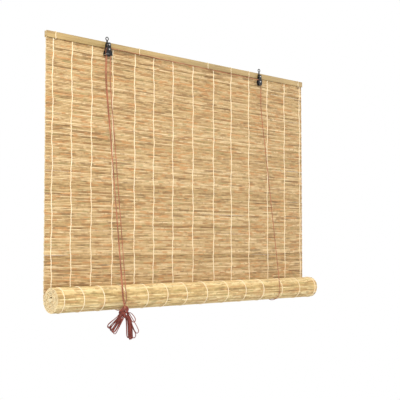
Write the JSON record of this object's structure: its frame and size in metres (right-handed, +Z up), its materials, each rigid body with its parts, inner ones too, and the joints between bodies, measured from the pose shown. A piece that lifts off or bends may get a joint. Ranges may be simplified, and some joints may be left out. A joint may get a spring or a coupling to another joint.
{
  "type": "reed roll-up blind",
  "caption": "Reed roll-up window blind with a slat header, pulley and cord lock brackets with hanging eyes, lift cords round a partly rolled mat, and knotted pull cords.",
  "frame": {"origin": "midway between the centres of the two hanging eyes, which hook onto the wall or window frame", "axes": "+X to the right as seen from the room, -Y towards the room, +Z up"},
  "size_m": [1.204, 0.1109, 0.9584],
  "materials": {
    "reed": "split dried reed, matt",
    "header_wood": "planed, light varnish",
    "black_steel": "black paint, semi gloss",
    "bright_steel": "zinc plated",
    "black_nylon": "moulded",
    "terracotta_cord": "braided cord"
  },
  "bodies": {
    "header": {"header_front_slat": "header_wood", "header_back_slat": "header_wood", "header_screw_left": "bright_steel", "header_screw_middle": "bright_steel", "header_screw_right": "bright_steel", "reed_mat": "reed", "left_back_plate": "black_steel", "left_front_plate": "black_steel", "left_bracket_bolt": "bright_steel", "left_bracket_nut": "bright_steel", "left_spacer": "bright_steel", "left_wheel_axle": "bright_steel", "lock_post": "bright_steel", "right_back_plate": "black_steel", "right_front_plate": "black_steel", "right_bracket_bolt": "bright_steel", "right_bracket_nut": "bright_steel", "right_spacer": "bright_steel", "right_wheel_axle": "bright_steel", "left_cord_anchor": "black_steel", "left_anchor_screw": "bright_steel", "left_tie_knot": "terracotta_cord", "right_cord_anchor": "black_steel", "right_anchor_screw": "bright_steel", "right_tie_knot": "terracotta_cord", "left_wheel_cord": "terracotta_cord", "transfer_cord": "terracotta_cord", "left_front_lift_cord": "terracotta_cord", "left_back_lift_cord": "terracotta_cord", "right_front_lift_cord": "terracotta_cord", "right_back_lift_cord": "terracotta_cord", "front_pull_cord": "terracotta_cord", "back_pull_cord": "terracotta_cord"},
    "cord_cradle": {"left_cord_cradle": "terracotta_cord", "right_cord_cradle": "terracotta_cord", "front_pull_tail": "terracotta_cord", "back_pull_tail": "terracotta_cord"},
    "roll": {"reed_roll": "reed", "bottom_rod": "header_wood"},
    "pull_end": {"pull_knot": "terracotta_cord", "left_pull_loops": "terracotta_cord", "right_pull_loops": "terracotta_cord"},
    "left_front_wheel": {"left_front_wheel": "black_nylon"},
    "left_back_wheel": {"left_back_wheel": "black_nylon"},
    "right_wheel": {"right_wheel": "black_nylon"},
    "lock_roller": {"lock_roller": "bright_steel"},
    "left_eye": {"left_hanging_eye": "black_steel"},
    "right_eye": {"right_hanging_eye": "black_steel"}
  },
  "joints": [
    {"name": "roll_lift", "type": "slide", "parent": "header", "child": "cord_cradle", "axis": [0, 0, 1], "range_m": [0, 0.64], "deforming": ["reed_mat", "left_front_lift_cord", "right_front_lift_cord", "left_back_lift_cord", "right_back_lift_cord", "front_pull_cord", "back_pull_cord"]},
    {"name": "roll_spin", "type": "hinge", "parent": "cord_cradle", "child": "roll", "pos_m": [0.017, -0.0287, -0.82], "axis": [1, 0, 0], "range_deg": [-720, 0]},
    {"name": "pull_drop", "type": "slide", "parent": "cord_cradle", "child": "pull_end", "axis": [0, 0, 1], "range_m": [-1.92, 0], "deforming": ["front_pull_tail", "back_pull_tail"]},
    {"name": "left_front_wheel_spin", "type": "hinge", "parent": "header", "child": "left_front_wheel", "pos_m": [-0.359, -0.0086, -0.036], "axis": [0, 1, 0], "range_deg": [-10500, 0]},
    {"name": "left_back_wheel_spin", "type": "hinge", "parent": "header", "child": "left_back_wheel", "pos_m": [-0.359, -0.0035, -0.036], "axis": [0, 1, 0], "range_deg": [-10500, 0]},
    {"name": "right_wheel_spin", "type": "hinge", "parent": "header", "child": "right_wheel", "pos_m": [0.359, -0.0035, -0.044], "axis": [0, 1, 0], "range_deg": [-10500, 0]},
    {"name": "lock_roller_slide", "type": "slide", "parent": "header", "child": "lock_roller", "axis": [0.3746, 0, 0.9272], "range_m": [0, 0.004]},
    {"name": "left_eye_tilt", "type": "hinge", "parent": "header", "child": "left_eye", "pos_m": [-0.359, 0, -0.021], "axis": [0, 1, 0], "range_deg": [-35, 35]},
    {"name": "right_eye_tilt", "type": "hinge", "parent": "header", "child": "right_eye", "pos_m": [0.359, 0, -0.024], "axis": [0, 1, 0], "range_deg": [-35, 35]}
  ],
  "couplings": [
    {"joint": "roll_spin", "follows": "roll_lift", "rad_per_m": -19.635},
    {"joint": "pull_drop", "follows": "roll_lift", "ratio": -3},
    {"joint": "left_front_wheel_spin", "follows": "roll_lift", "rad_per_m": -285.71},
    {"joint": "left_back_wheel_spin", "follows": "roll_lift", "rad_per_m": -285.71},
    {"joint": "right_wheel_spin", "follows": "roll_lift", "rad_per_m": -285.71}
  ]
}
